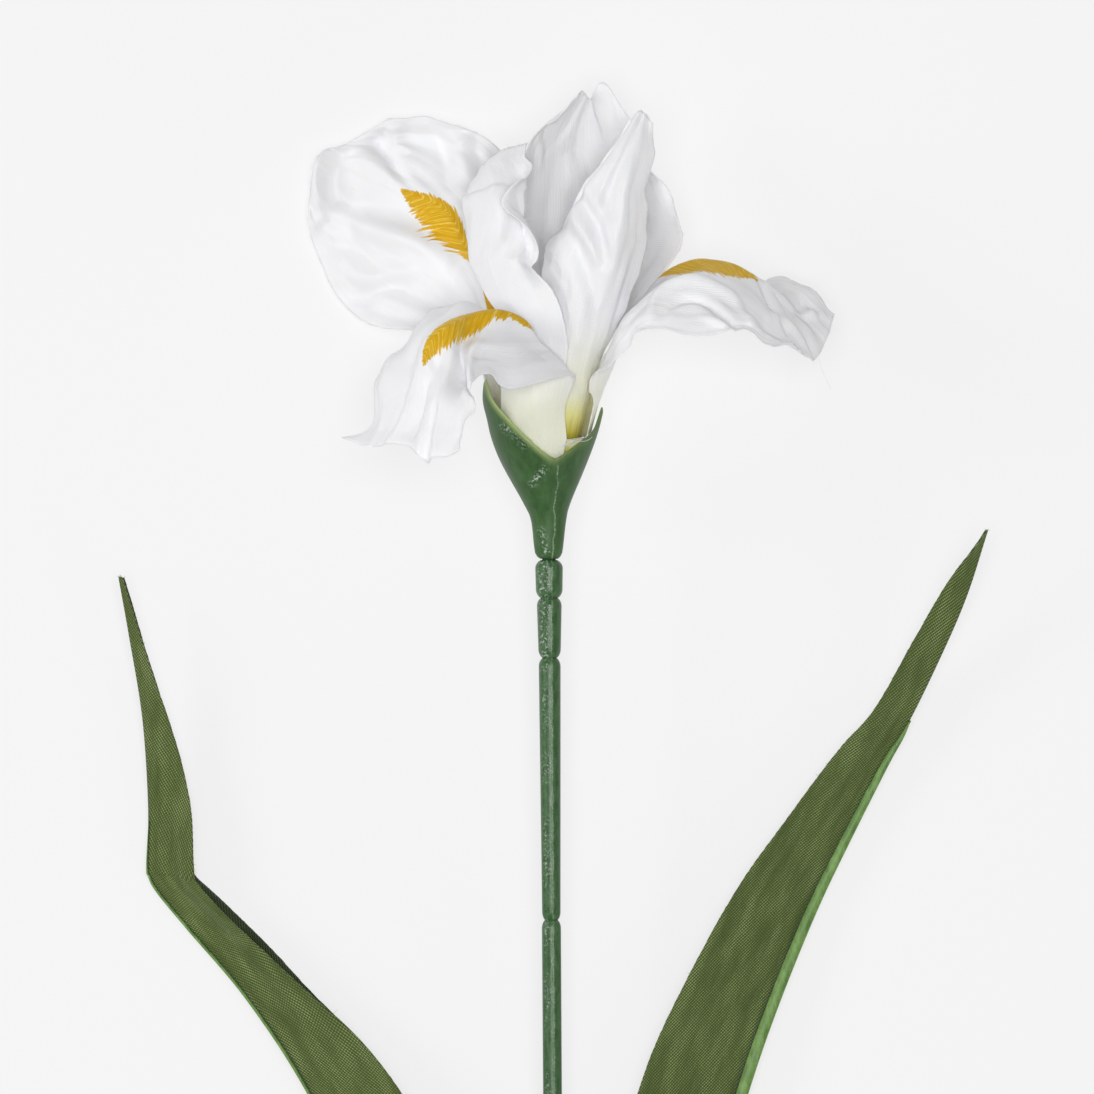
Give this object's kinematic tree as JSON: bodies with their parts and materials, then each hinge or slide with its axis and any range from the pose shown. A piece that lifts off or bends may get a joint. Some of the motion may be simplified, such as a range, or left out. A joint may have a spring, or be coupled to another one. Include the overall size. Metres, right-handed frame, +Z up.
{
  "type": "artificial iris flower",
  "caption": "Single-stem artificial iris with fabric falls and standards in a moulded calyx, a pinched plastic stem over a wire and V-folded leaves, lying down.",
  "frame": {"origin": "on the table the flower lies on, under the middle of its box", "axes": "+Y runs along the stem towards the bloom, +X to the right seen from above, +Z up from the table"},
  "size_m": [0.2188, 0.5992, 0.0789],
  "materials": {
    "petal": "woven white polyester, satin, heat-set",
    "hub": "moulded yellow-green plastic",
    "calyx": "moulded green polyethylene, satin",
    "stem": "moulded green polyethylene, glossy",
    "wire": "drawn steel wire",
    "leaf": "woven green polyester",
    "rib": "moulded light green polyethylene"
  },
  "bodies": {
    "root": {"stem": "stem", "stem_wire": "wire", "calyx": "calyx", "petal_hub": "hub", "falls": "petal", "standards": "petal", "leaf_left": "leaf", "leaf_right": "leaf", "leaf_rib_left": "rib", "leaf_rib_right": "rib", "leaf_collar": "rib"}
  },
  "joints": []
}
